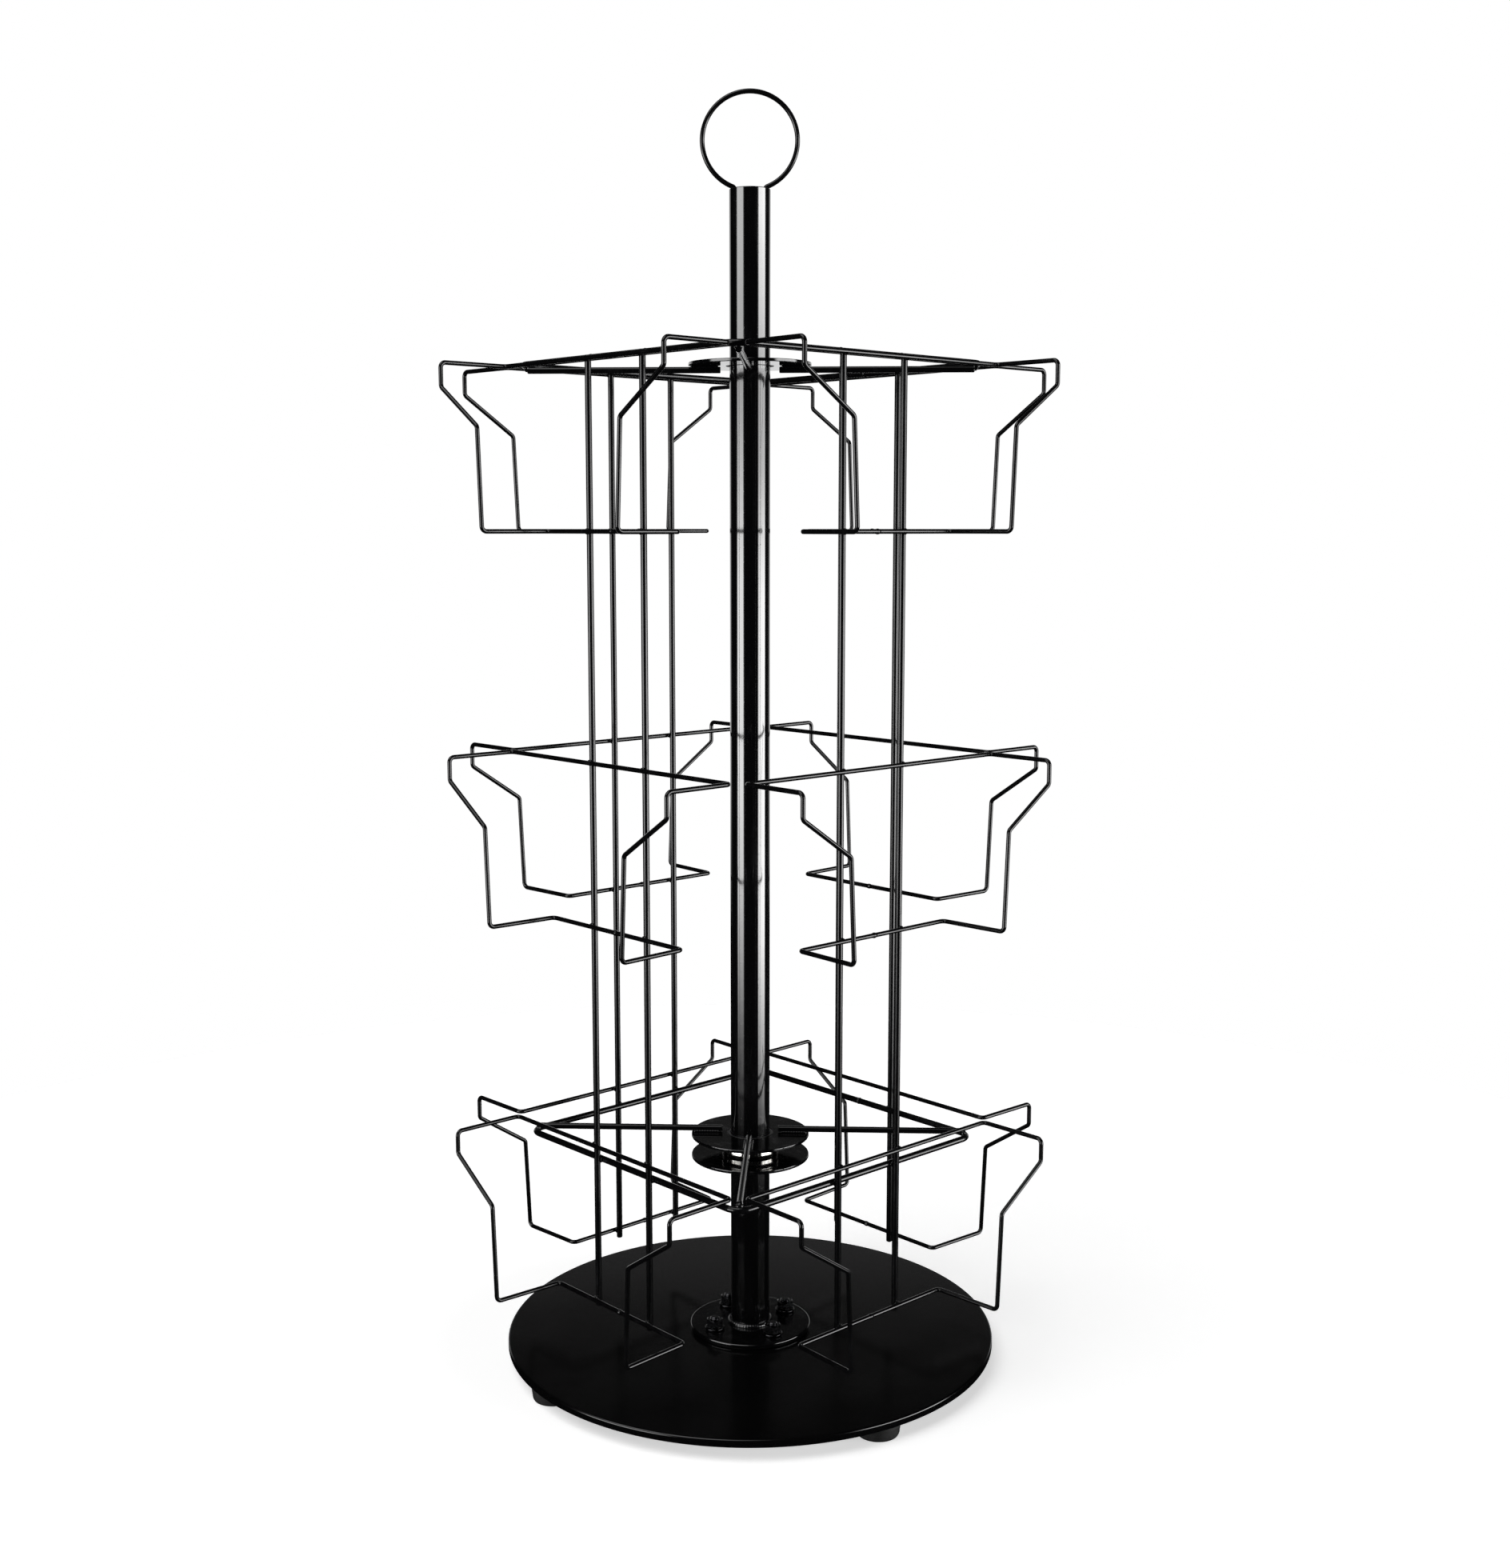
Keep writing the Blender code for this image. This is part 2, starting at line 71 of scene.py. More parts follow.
# Stand
FOOT_SHOULDER = 1.2 * MM
FOOT_TAPER = 0.8 * MM
FOOT_RECESS_RADIUS = 5 * MM
FOOT_RECESS_DEPTH = 4.3 * MM
SCREW_SHANK_RADIUS = 2 * MM
SCREW_HEAD_HEIGHT = 2.6 * MM
SCREW_RECESS = (4.2 * MM, 0.9 * MM, 3 * MM)
RECESS_TAPER = 0.55                 # its inner end's size, as a share of its mouth's
STUD_RADIUS = 3 * MM
STUD_PITCH = 1 * MM
STUD_ROOT = 1 * MM                  # how far a stud's weld root goes into the base plate
STUD_CHAMFER = 0.7 * MM
THREAD_DEPTH = 0.55 * MM
THREAD_ROWS = 8                     # to one pitch
NUT_FLATS = 10 * MM
NUT_FACE = 0.96                     # width of its round face, as a share of NUT_FLATS
NUT_CHAMFER = math.radians(30)
NUT_SINK = 0.35 * MM
NUT_STEPS = 72

# Ring on the pole
RING_RADIUS = 29.2 * MM
RING_WIRE_RADIUS = 1.5 * MM
RING_TURN = math.radians(47.4)
RING_LEG_OFFSET = 9.3 * MM
RING_LEG_BEND = 2.4 * MM
RING_STEPS = 64
RING_BEND_STEPS = 10

# Hubs and thrust bearing
BUSH_RADIUS = 14.7 * MM
BALL_RADIUS = 1.75 * MM
BALL_CIRCLE = 16 * MM
BALL_COUNT = 12
BALL_ROWS = 16
BALL_STEPS = 28
CAGE_BORE = 13.4 * MM
CAGE_THICKNESS = 1.4 * MM
CAGE_PLAY = 0.12 * MM               # between a ball and its hole in the cage
CAGE_HOLE_STEPS = 32
RACE_COVER = 0.75 * MM              # how far each race's shoulders reach over the balls
RACE_CROWN = 0.25 * MM              # how much narrower its rims are than its middle
GROOVE_RADIUS = 1.9 * MM
GROOVE_REACH = 0.92                 # half the groove's width, as a share of its radius
GROOVE_STEPS = 8

# Pockets and squares
POCKET_WIRE_RADIUS = 1.4 * MM
POCKET_BEND = 3.2 * MM
RAIL_SHORTER = 0.8 * MM             # at each end, than the mouth between the tips
TIP_DROP = 14.7 * MM
WAIST_HALF_WIDTH = 68 * MM
WAIST_DROP = 39.6 * MM
TOE_HALF_WIDTH = 65 * MM
HEEL_HALF_WIDTH = 62.3 * MM
SQUARE_BEND = 10 * MM               # at a square's corners

# Weld beads.  Out and rise are from the pole's or arm's side, and from the disc, to the middle
BEAD_PITCH = 1.7 * MM
BEAD_STEP = 0.25 * MM
BEAD_RIPPLE = 0.1
BEAD_BLUNTNESS = 0.35               # 0 tapers a bead's ends to a point, 1 not at all
BEAD_SIDES = 14
POLE_BEAD_RADIUS = 1.7 * MM
POLE_BEAD_OUT = 0.5 * MM
POLE_BEAD_RISE = 0.7 * MM
POLE_BEAD_STEPS = 120
ARM_BEAD_RADIUS = 1.1 * MM
ARM_BEAD_OUT = 0.15 * MM
ARM_BEAD_RISE = 0.5 * MM
ARM_BEAD_SHORTER = 1.5 * MM         # at each end, than the arm's run on the disc

# Spot and butt welds: half their size along X, Y and Z, as made before they turn into place
UPRIGHT_WELD = (2.6 * MM, 1.2 * MM, 1.9 * MM)
POCKET_WELD = (2.3 * MM, 1.1 * MM, 1.9 * MM)
ARM_WELD = (1.8 * MM, 2.4 * MM, 2.6 * MM)
ARM_WELD_PAST = 0.5 * MM            # how far past the arm's end its middle is
SQUARE_WELD_LENGTH = 1.7 * MM
SQUARE_WELD_BULGE = 0.3 * MM
WELD_ROWS = 12
WELD_STEPS = 20
WELD_UNEVENNESS = 0.07
WELD_LUMPS = 2.1                    # scale of its noise
WELD_SEED_STEP = 3.7                # between two seeds' places in the noise

# Where a pocket's two ends meet: (place along the wire, swelling)
BUTT_WELD = ((1.6 * MM, 0), (0.8 * MM, 0.25 * MM), (0, 0.35 * MM), (-0.8 * MM, 0.25 * MM),
             (-1.6 * MM, 0))


# ---------------------------------------------------------------- node helpers

class Nodes:
    """Adds nodes to one tree.  An input is a value, or the output that it is linked to."""

    def __init__(self, tree):
        self.tree = tree
        tree.nodes.clear()

    def add(self, kind, inputs=(), **settings):
        node = self.tree.nodes.new("ShaderNode" + kind)
        for key, value in settings.items():
            setattr(node, key, value)
        pairs = inputs.items() if isinstance(inputs, dict) else enumerate(inputs)
        for key, value in pairs:
            if isinstance(value, bpy.types.NodeSocket):
                self.tree.links.new(value, node.inputs[key])
            else:
                node.inputs[key].default_value = value
        return node

    def math(self, operation, *values):
        return self.add("Math", values, operation=operation).outputs[0]

    def noise(self, place, scale, detail, roughness=0.5):
        node = self.add("TexNoise", {"Vector": place, "Scale": scale, "Detail": detail,
                                     "Roughness": roughness})
        return node.outputs["Fac"]

    def spread(self, value, low, high, to_low, to_high, smooth=False):
        """The value's range from low to high mapped to another range, and held at its ends."""
        kind = "SMOOTHSTEP" if smooth else "LINEAR"
        node = self.add("MapRange", {"Value": value, "From Min": low, "From Max": high,
                                     "To Min": to_low, "To Max": to_high},
                        interpolation_type=kind)
        return node.outputs["Result"]

    def blend(self, factor, first, second):
        """One colour to another."""
        node = self.add("Mix", {"Factor": factor, "A": (*first, 1), "B": (*second, 1)},
                        data_type="RGBA")
        return node.outputs["Result"]

    def bump(self, height, distance, strength, under=None):
        inputs = {"Height": height, "Distance": distance, "Strength": strength}
        if under:
            inputs["Normal"] = under
        return self.add("Bump", inputs).outputs["Normal"]

    def stretched(self, place, scale):
        return self.add("Mapping", {"Vector": place, "Scale": scale}).outputs["Vector"]


def new_material(name):
    """A named material, its nodes and the object coordinate its patterns use."""
    material = bpy.data.materials.new(name)
    material.use_nodes = True
    nodes = Nodes(material.node_tree)
    place = nodes.add("TexCoord").outputs["Object"]
    return material, nodes, place


def output(nodes, inputs):
    shader = nodes.add("BsdfPrincipled", inputs)
    nodes.add("OutputMaterial", {"Surface": shader.outputs["BSDF"]})


# ---------------------------------------------------------------- materials

def satin_powder_coat():
    """The base plate's fine-textured satin black."""
    material, nodes, place = new_material("satin_powder_coat")
    cloud = nodes.noise(place, 14, 4, 0.6)
    grain = nodes.noise(place, 1500, 2, 0.6)
    peel = nodes.noise(place, 420, 1)
    rubbed = nodes.noise(nodes.stretched(place, (9, 26, 9)), 6, 5, 0.7)
    colour = nodes.blend(nodes.spread(grain, 0.35, 0.7, 0, 1), (0.0008, 0.0008, 0.0009),
                         (0.0022, 0.0022, 0.0024))
    dull = nodes.spread(cloud, 0.3, 0.7, 0.12, 0.165)
    rub = nodes.spread(rubbed, 0.55, 0.75, 0, 0.03, smooth=True)
    roughness = nodes.math("ADD", nodes.math("SUBTRACT", dull, rub),
                           nodes.spread(grain, 0.3, 0.7, -0.02, 0.03))
    normal = nodes.bump(peel, 0.03 * MM, 0.25)
    normal = nodes.bump(grain, 0.015 * MM, 0.4, normal)
    output(nodes, {"Base Color": colour, "Roughness": roughness, "Normal": normal,
                   "Specular IOR Level": 0.35})
    return material


def enamel(name, ior, peel_scale, peel_depth, smooth_roughness, dull_roughness):
    """Gloss black paint on metal: orange peel, specks under the coat and faint handling marks."""
    material, nodes, place = new_material(name)
    peel = nodes.noise(place, peel_scale, 1.5, 0.45)
    speck = nodes.spread(nodes.noise(place, 700, 0), 0.74, 0.8, 0, 1, smooth=True)
    marks = nodes.noise(nodes.stretched(place, (60, 60, 11)), 1.6, 6, 0.65)
    handled = nodes.spread(marks, 0.5, 0.72, 0, 1, smooth=True)
    colour = nodes.blend(handled, (0.0016, 0.0016, 0.0018), (0.0036, 0.0036, 0.004))
    roughness = nodes.spread(handled, 0, 1, smooth_roughness, dull_roughness)
    normal = nodes.bump(peel, peel_depth, 0.5)
    normal = nodes.bump(speck, 0.02 * MM, 0.25, normal)
    output(nodes, {"Base Color": colour, "Roughness": roughness, "Normal": normal, "IOR": ior})
    return material


def black_oxide():
    """Nuts, washers, studs and screws."""
    material, nodes, place = new_material("black_oxide")
    patch = nodes.noise(place, 240, 4, 0.6)
    scratch = nodes.noise(nodes.stretched(place, (1, 1, 7)), 900, 3, 0.7)
    worn = nodes.spread(patch, 0.58, 0.7, 0, 1, smooth=True)
    colour = nodes.blend(worn, (0.045, 0.045, 0.048), (0.13, 0.127, 0.124))
    roughness = nodes.spread(scratch, 0.3, 0.7, 0.1, 0.26)
    normal = nodes.bump(scratch, 0.02 * MM, 0.4)
    output(nodes, {"Base Color": colour, "Roughness": roughness, "Metallic": 1.0,
                   "Normal": normal})
    return material


def polished_steel():
    """Bearing races, cage and balls, ground in rings about the pole, with a film of oil."""
    material, nodes, place = new_material("polished_steel")
    flat = nodes.add("VectorMath", (place, (1.0, 1.0, 0.0)), operation="MULTIPLY").outputs[0]
    radius = nodes.add("VectorMath", (flat,), operation="LENGTH").outputs["Value"]
    height = nodes.add("SeparateXYZ", (place,)).outputs["Z"]
    ring = nodes.add("CombineXYZ", (radius, height, 0.0)).outputs[0]
    lines = nodes.noise(ring, 5200, 2, 0.6)
    film = nodes.noise(place, 330, 3)
    colour = nodes.blend(nodes.spread(film, 0.45, 0.7, 0, 1), (0.56, 0.55, 0.53),
                         (0.38, 0.36, 0.32))
    roughness = nodes.math("ADD", nodes.spread(lines, 0.3, 0.7, 0.05, 0.11),
                           nodes.spread(film, 0.45, 0.7, 0, 0.08))
    normal = nodes.bump(lines, 0.006 * MM, 0.35)
    output(nodes, {"Base Color": colour, "Roughness": roughness, "Metallic": 1.0,
                   "Normal": normal})
    return material


def moulded(name, colour, fleck, smooth_roughness, dull_roughness, grain_scale, grain_depth):
    """Moulded nylon or rubber: a fine mould texture and slightly uneven colour."""
    material, nodes, place = new_material(name)
    grain = nodes.noise(place, grain_scale, 3, 0.65)
    cloud = nodes.noise(place, 90, 3, 0.6)
    shade = nodes.blend(nodes.spread(cloud, 0.35, 0.7, 0, 1), colour, fleck)
    roughness = nodes.spread(grain, 0.3, 0.7, smooth_roughness, dull_roughness)
    normal = nodes.bump(grain, grain_depth, 0.5)
    output(nodes, {"Base Color": shade, "Roughness": roughness, "Normal": normal})
    return material


def floor_paint():
    """Matt white that glows a little: close to the background's white, its shadows pale."""
    material, nodes, place = new_material("studio_floor")
    tone = nodes.spread(nodes.noise(place, 3, 3), 0.3, 0.7, 0, 1)
    colour = nodes.blend(tone, (0.80, 0.80, 0.80), (0.82, 0.82, 0.82))
    output(nodes, {"Base Color": colour, "Roughness": 0.7, "Specular IOR Level": 0.2,
                   "Emission Color": (1, 1, 1, 1), "Emission Strength": FLOOR_GLOW})
    return material


FINISHES = {
    "base_paint": satin_powder_coat(),
    "gloss_black": enamel("gloss_enamel", ior=1.7, peel_scale=170, peel_depth=0.02 * MM,
                          smooth_roughness=0.07, dull_roughness=0.13),
    "black_wire": enamel("wire_enamel", ior=1.37, peel_scale=200, peel_depth=0.015 * MM,
                         smooth_roughness=0.15, dull_roughness=0.22),
    "black_fastener": black_oxide(),
    "bright_steel": polished_steel(),
    "black_nylon": moulded("nylon", (0.006, 0.006, 0.0065), (0.011, 0.011, 0.0115),
                           smooth_roughness=0.34, dull_roughness=0.5, grain_scale=1900,
                           grain_depth=0.02 * MM),
    "black_rubber": moulded("rubber", (0.004, 0.004, 0.004), (0.01, 0.01, 0.0098),
                            smooth_roughness=0.6, dull_roughness=0.85, grain_scale=1300,
                            grain_depth=0.05 * MM),
}


# ---------------------------------------------------------------- shapes: (points, faces)

def loft(rings, closed=False, capped=False):
    """Rings of points joined one to the next.  A ring of one point closes the shape."""
    points, starts = [], []
    for ring in rings:
        starts.append(len(points))
        points.extend(ring)
    steps = max(len(ring) for ring in rings)
    faces = []
    joins = len(rings) if closed else len(rings) - 1
    for i in range(joins):
        j = (i + 1) % len(rings)
        for k in range(steps):
            corners = [
                starts[i] + k % len(rings[i]), starts[i] + (k + 1) % len(rings[i]),
                starts[j] + (k + 1) % len(rings[j]), starts[j] + k % len(rings[j]),
            ]
            faces.append(list(dict.fromkeys(corners)))
    if capped:
        faces.append(list(range(steps)))
        faces.append([starts[-1] + k for k in range(steps)])
    return points, faces


def circle(radius, height, steps):
    """Points round Z, or a single one if the radius is 0."""
    if radius == 0:
        return [Vector((0, 0, height))]
    angles = [math.tau * k / steps for k in range(steps)]
    return [Vector((radius * math.cos(a), radius * math.sin(a), height)) for a in angles]


def held(points, closed):
    """The points with two more in each long straight run, close to its ends."""
    result = []
    for i, point in enumerate(points):
        result.append(point)
        if i == len(points) - 1 and not closed:
            break
        after = points[(i + 1) % len(points)]
        length = (after - point).length
        if length > LONG_RUN:
            result.extend([point.lerp(after, HOLD / length), after.lerp(point, HOLD / length)])
    return result


def rounded(corners, radii, closed=False):
    """The corners joined by straight runs, each corner rounded to its radius."""
    if not isinstance(radii, list):
        radii = [radii] * len(corners)
    corners = [Vector(corner) for corner in corners]
    points = []
    for i, (corner, radius) in enumerate(zip(corners, radii)):
        if radius == 0 or not closed and i in (0, len(corners) - 1):
            points.append(corner)
            continue
        to_before = (corners[i - 1] - corner).normalized()
        to_after = (corners[(i + 1) % len(corners)] - corner).normalized()
        half = to_before.angle(to_after) / 2
        centre = corner + (to_before + to_after).normalized() * (radius / math.sin(half))
        start = corner + to_before * (radius / math.tan(half)) - centre
        end = corner + to_after * (radius / math.tan(half)) - centre
        steps = max(2, round((math.pi - 2 * half) / ARC_STEP))
        for k in range(steps + 1):
            points.append(centre + start.slerp(end, k / steps).normalized() * radius)
    return held(points, closed)


def turned(outline, steps, closed=False):
    """An outline of (radius, height) or (radius, height, rounding) turned about Z."""
    corners = [(point[0], 0, point[1]) for point in outline]
    radii = [point[2] if len(point) > 2 else 0 for point in outline]
    path = rounded(corners, radii, closed)
    return loft([circle(point.x, point.z, steps) for point in path], closed)


def ring_shape(inner, outer, bottom, top, edge, steps):
    """A flat ring with its outer edges rounded, and its inner ones a third as much."""
    return turned([(outer, top, edge), (outer, bottom, edge), (inner, bottom, edge / 3),
                   (inner, top, edge / 3)], steps, closed=True)


def tube(path, radii, sides=WIRE_SIDES, closed=False):
    """A round section carried along the path without twisting."""
    count = len(path)
    if not isinstance(radii, list):
        radii = [radii] * count
    tangents = []
    for i, point in enumerate(path):
        tangent = Vector()
        if closed or i > 0:
            tangent += (point - path[i - 1]).normalized()
        if closed or i < count - 1:
            tangent += (path[(i + 1) % count] - point).normalized()
        tangents.append(tangent.normalized())
    across = [tangents[0].orthogonal().normalized()]
    for i in range(1, count + closed):
        turn = tangents[i - 1].rotation_difference(tangents[i % count])
        across.append(turn @ across[-1])
    twist = 0
    if closed:
        last = across.pop()
        twist = math.atan2(tangents[0].dot(last.cross(across[0])), last.dot(across[0]))
    rings = []
    for i, (point, tangent, radius) in enumerate(zip(path, tangents, radii)):
        u = Matrix.Rotation(twist * i / count, 3, tangent) @ across[i]
        v = tangent.cross(u)
        angles = [math.tau * k / sides for k in range(sides)]
        rings.append([point + (u * math.cos(a) + v * math.sin(a)) * radius for a in angles])
    return loft(rings, closed, capped=not closed)


def rod(path, radius):
    """An open wire with its cut ends chamfered."""
    first = (path[1] - path[0]).normalized() * ROD_CHAMFER
    last = (path[-2] - path[-1]).normalized() * ROD_CHAMFER
    path = [path[0], path[0] + first, *path[1:-1], path[-1] + last, path[-1]]
    ends = radius - ROD_CHAMFER
    return tube(path, [ends, *[radius] * (len(path) - 2), ends])


def moved(shape, matrix):
    points, faces = shape
    return [matrix @ Vector(point) for point in points], faces


def shifted(shape, x=0.0, y=0.0, z=0.0):
    return moved(shape, Matrix.Translation((x, y, z)))


def turned_about(shape, degrees):
    """The shape turned about the pole."""
    return moved(shape, Matrix.Rotation(math.radians(degrees), 4, "Z"))


def merged(shapes):
    points, faces = [], []
    for some_points, some_faces in shapes:
        faces.extend([[len(points) + i for i in face] for face in some_faces])
        points.extend(some_points)
    return points, faces


def new_object(name, shape):
    """A mesh object of the shape, its faces all turned outwards."""
    mesh = bpy.data.meshes.new(name)
    mesh.from_pydata(shape[0], [], shape[1])
    bm = bmesh.new()
    bm.from_mesh(mesh)
    bmesh.ops.recalc_face_normals(bm, faces=bm.faces)
    bm.to_mesh(mesh)
    bm.free()
    obj = bpy.data.objects.new(name, mesh)
    bpy.context.scene.collection.objects.link(obj)
    return obj


def carved(shape, cutters):
    """The shape with the cutters' shapes taken out of it."""
    body = new_object("carved_body", shape)
    cutter = new_object("carved_cutter", merged(cutters))
    boolean = body.modifiers.new("Carve", "BOOLEAN")
    boolean.operation = "DIFFERENCE"
    boolean.solver = "EXACT"
    boolean.object = cutter
    bpy.context.view_layer.update()
    evaluated = body.evaluated_get(bpy.context.evaluated_depsgraph_get())
    points = [vertex.co.copy() for vertex in evaluated.data.vertices]
    faces = [list(polygon.vertices) for polygon in evaluated.data.polygons]
    for obj in (body, cutter):
        mesh = obj.data
        bpy.data.objects.remove(obj)
        bpy.data.meshes.remove(mesh)
    return points, faces


def cylinder(x, y, bottom, top, radius, steps=SMALL_STEPS):
    return shifted(loft([circle(radius, bottom, steps), circle(radius, top, steps)],
                        capped=True), x, y)


def recess_cutter(centre, turn):
    """A box that narrows upwards, for one of the two slots in a screw's cross recess."""
    x, y, z = (size / 2 for size in SCREW_RECESS)
    rings = []
    for height, share in ((-z, 1.0), (z, RECESS_TAPER)):
        corners = ((x, y), (-x, y), (-x, -y), (x, -y))
        rings.append([Vector((u * share, v * share, height)) for u, v in corners])
    shape = loft(rings, capped=True)
    return moved(shape, Matrix.Translation(centre) @ Matrix.Rotation(turn, 4, "Z"))


def bead(path, radius, closed=False):
    """A weld bead: a tube with a ripple along it, tapered at its ends if it has any."""
    points, travelled = [], []
    length = 0.0
    ends = path[1:] + path[:1] if closed else path[1:]
    for start, end in zip(path, ends):
        run = (end - start).length
        steps = max(1, round(run / BEAD_STEP))
        for k in range(steps):
            points.append(start.lerp(end, k / steps))
            travelled.append(length + run * k / steps)
        length += run
    if not closed:
        points.append(path[-1])
        travelled.append(length)
    ripples = round(length / BEAD_PITCH)
    radii = []
    for distance in travelled:
        ripple = abs(math.sin(math.pi * ripples * distance / length))
        rippled = radius * (1 - BEAD_RIPPLE + BEAD_RIPPLE * ripple)
        from_end = min(distance, length - distance)
        taper = 1.0 if closed else min(1.0, from_end / radius + BEAD_BLUNTNESS)
        radii.append(rippled * math.sin(taper * math.pi / 2))
    return tube(points, radii, BEAD_SIDES, closed)


def blob(centre, radii, seed):
    """The small, uneven swelling that a weld leaves where two rods meet."""
    rings = []
    for i in range(WELD_ROWS + 1):
        polar = math.pi * i / WELD_ROWS
        ring = []
        for k in range(WELD_STEPS if 0 < i < WELD_ROWS else 1):
            angle = math.tau * k / WELD_STEPS
            way = Vector((math.sin(polar) * math.cos(angle), math.sin(polar) * math.sin(angle),
                          math.cos(polar)))
            lump = noise.noise(way * WELD_LUMPS + Vector((seed * WELD_SEED_STEP, 0, 0)))
            swell = 1 + WELD_UNEVENNESS * lump
            ring.append(centre + Vector(way[n] * radii[n] * swell for n in range(3)))
        rings.append(ring)
    return loft(rings)


def add(name, shape, slot, body, *nodes):
    """One piece of the rack in its slot's finish, riding on its body in place of the CAD nodes."""
    obj = new_object(name, shape)
    obj.data.materials.append(FINISHES[slot])
    obj.data.shade_smooth()
    obj.data.set_sharp_from_angle(angle=SHARP_ANGLE)
    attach(obj, body)
    if nodes:
        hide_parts(*nodes)


def middle(node):
    """The middle of a CAD node's box."""
    low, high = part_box(node)
    return (low + high) / 2


# ---------------------------------------------------------------- stand

pole_low, pole_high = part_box("pole")
pole_radius = pole_high.x
hole_radius = pole_radius + GAP      # of all that fits round the pole
flange_low, flange_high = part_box("base_flange")
base_top = flange_low.z - GAP
fastener_turn = math.atan2(middle("flange_nut_1").y, middle("flange_nut_1").x)


def thread(radius, bottom, top):
    """A screw thread as one closed shape, with a chamfered end."""
    rows = round((top - bottom) / STUD_PITCH * THREAD_ROWS)
    rings = []
    for i in range(rows + 1):
        height = bottom + (top - bottom) * i / rows
        limit = radius - max(0.0, STUD_CHAMFER - (top - height))
        ring = []
        for k in range(SMALL_STEPS):
            angle = math.tau * k / SMALL_STEPS
            phase = (height / STUD_PITCH - k / SMALL_STEPS) % 1
            # 0 along the flat root, 1 along the flat crest, and straight flanks between
            crest = min(1.0, max(0.0, 1.3 * abs(2 * phase - 1) - 0.1))
            size = min(limit, radius - THREAD_DEPTH * (1 - crest))
            ring.append(Vector((size * math.cos(angle), size * math.sin(angle), height)))
        rings.append(ring)
    return loft(rings, capped=True)


def hex_nut(bore, bottom, top):
    """A hexagon nut with its corners chamfered and its bore countersunk."""
    face = NUT_FLATS / 2 * NUT_FACE
    profiles = []
    for k in range(NUT_STEPS):
        angle = math.tau * k / NUT_STEPS
        across = NUT_FLATS / 2 / math.cos((angle + math.pi / 6) % (math.pi / 3) - math.pi / 6)
        drop = (across - face) * math.tan(NUT_CHAMFER)
        outline = [
            (bore, bottom + NUT_SINK), (bore + NUT_SINK, bottom), (face, bottom),
            (across, bottom + drop), (across, top - drop), (face, top), (bore + NUT_SINK, top),
            (bore, top - NUT_SINK),
        ]
        profiles.append([Vector((radius * math.cos(angle), radius * math.sin(angle), height))
                         for radius, height in outline])
    return loft([list(ring) for ring in zip(*profiles)], closed=True)


def base_disc():
    """The base plate with its blind holes for the foot screws, and the studs welded to it."""
    low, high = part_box("base_plate")
    radius = high.x
    inside = [radius * share for share in (0.3, 0.6, 0.85)]
    outline = [(0, base_top), *[(r, base_top) for r in inside], (radius, base_top, 1.2 * MM),
               (radius, low.z, 0.7 * MM), *[(r, low.z) for r in reversed(inside)], (0, low.z)]
    holes = []
    for i in NUMBERS:
        screw = middle(f"foot_screw_{i}")
        screw_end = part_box(f"foot_screw_{i}")[1].z
        holes.append(cylinder(screw.x, screw.y, low.z - CUT_PAST, screw_end + GAP,
                              SCREW_SHANK_RADIUS + GAP))
    shape = carved(turned(outline, BASE_STEPS), holes)
    add("base_disc", shape, "base_paint", "stand", "base_plate")
    for i in NUMBERS:
        place = middle(f"flange_nut_{i}")
        stud = thread(STUD_RADIUS, base_top - STUD_ROOT, high.z)
        add(f"stud_{i}", shifted(stud, place.x, place.y), "black_fastener", "stand",
            "base_plate")


def foot(i):
    """A rubber foot, recessed from below for its screw's head."""
    node = f"foot_{i}"
    low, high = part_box(node)
    place = middle(node)
    radius = (high.x - low.x) / 2
    hole = SCREW_SHANK_RADIUS + GAP
    neck = high.z - FOOT_SHOULDER
    outline = [
        (radius - FOOT_TAPER, high.z, 0.3 * MM), (radius, neck, 0.5 * MM),
        (radius - FOOT_TAPER, 1.5 * MM, 1 * MM), (radius - 2 * FOOT_TAPER, 0, 0.6 * MM),
        (FOOT_RECESS_RADIUS + 0.8 * MM, 0, 0.4 * MM),
        (FOOT_RECESS_RADIUS, FOOT_RECESS_DEPTH * 0.4, 0.4 * MM),
        (FOOT_RECESS_RADIUS, FOOT_RECESS_DEPTH, 0.5 * MM), (hole, FOOT_RECESS_DEPTH, 0.2 * MM),
        (hole, high.z),
    ]
    shape = turned(outline, FOOT_STEPS, closed=True)
    add(f"{node}_pad", shifted(shape, place.x, place.y), "black_rubber", "stand", node)


def foot_screw(i):
    """A pan-head screw, its cross recess facing down."""
    node = f"foot_screw_{i}"
    low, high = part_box(node)
    place = middle(node)
    head = (high.x - low.x) / 2
    seat = low.z + SCREW_HEAD_HEIGHT
    outline = [
        (0, high.z), (SCREW_SHANK_RADIUS - 0.5 * MM, high.z),
        (SCREW_SHANK_RADIUS, high.z - 1 * MM), (SCREW_SHANK_RADIUS, seat, 0.3 * MM),
        (head, seat, 0.3 * MM), (head - 0.2 * MM, low.z + 1.1 * MM, 0.8 * MM),
        (head * 0.55, low.z, 0.8 * MM), (0, low.z),
    ]
    shape = turned(outline, SMALL_STEPS)
    for turn in (math.pi / 4, -math.pi / 4):
        shape = carved(shape, [recess_cutter((0, 0, low.z), turn)])
    add(f"{node}_pan_head", shifted(shape, place.x, place.y), "black_fastener", "stand", node)


